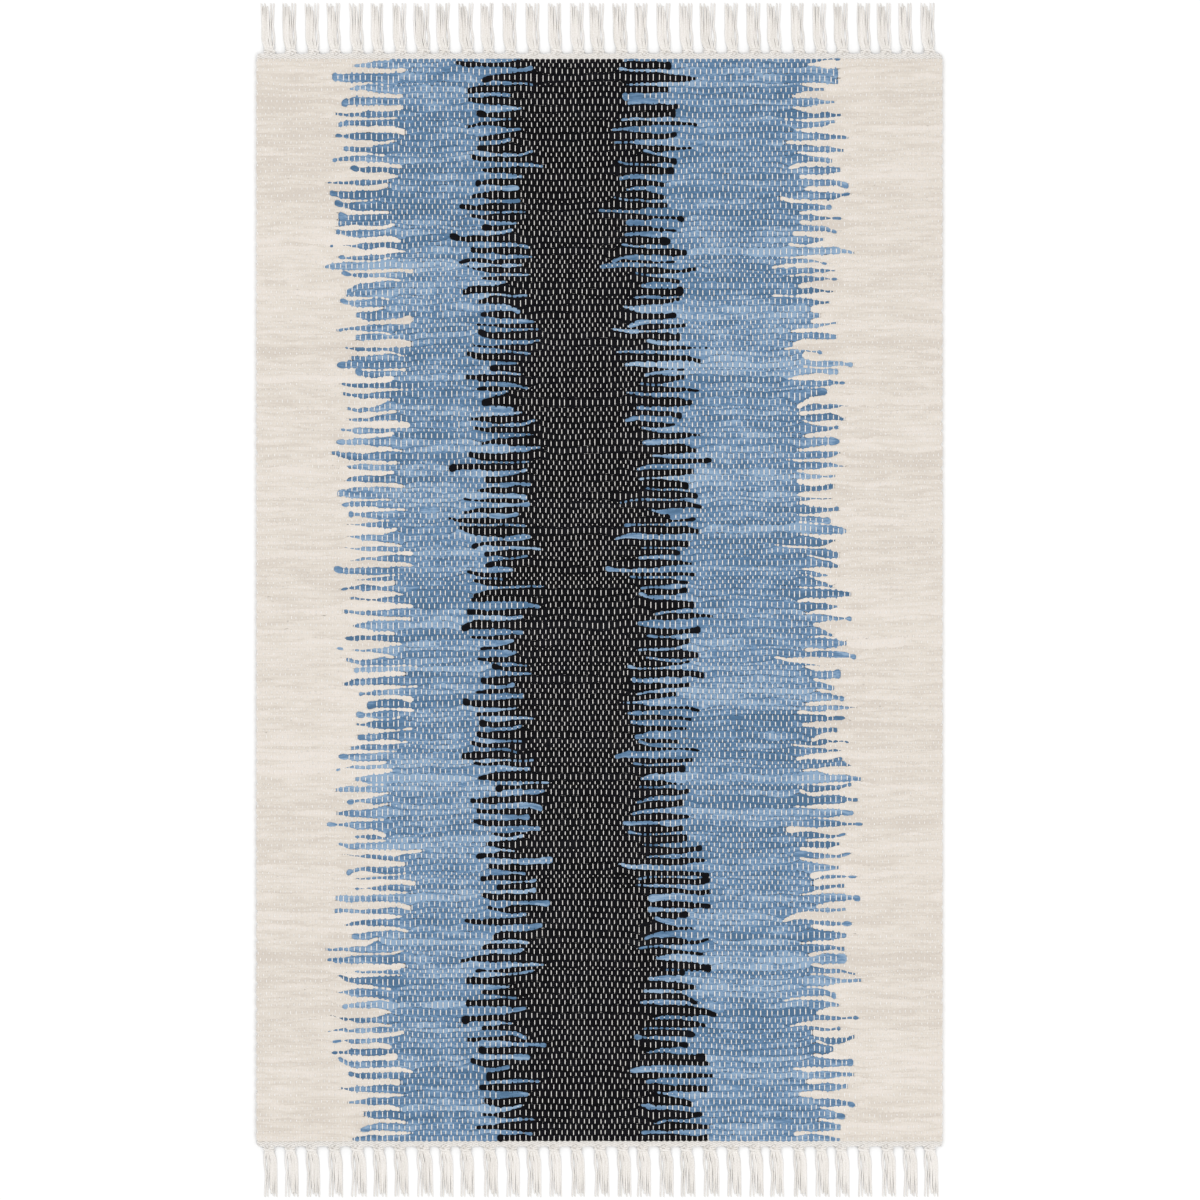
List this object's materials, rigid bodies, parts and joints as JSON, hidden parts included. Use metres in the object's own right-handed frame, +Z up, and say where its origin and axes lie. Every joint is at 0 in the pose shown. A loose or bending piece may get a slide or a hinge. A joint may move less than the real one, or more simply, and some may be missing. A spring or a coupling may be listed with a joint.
{
  "type": "flat-woven rag rug",
  "caption": "Rectangular flat-woven cotton rag rug with feathered blue and black stripes along its length on cream, and a knotted fringe at each end.",
  "frame": {"origin": "centre of the underside, on the floor", "axes": "+Y along the rug towards the far fringe, +X across it, +Z up through its thickness"},
  "size_m": [0.766, 1.334, 0.0054],
  "materials": {
    "cream_rag": "undyed cotton rag, matte",
    "blue_rag": "dusty blue cotton rag, matte",
    "black_rag": "black cotton rag, matte",
    "cotton_yarn": "plied undyed cotton yarn, matte"
  },
  "bodies": {
    "root": {"rug_body": "cream_rag", "fringe_far": "cotton_yarn", "fringe_near": "cotton_yarn"}
  },
  "joints": []
}
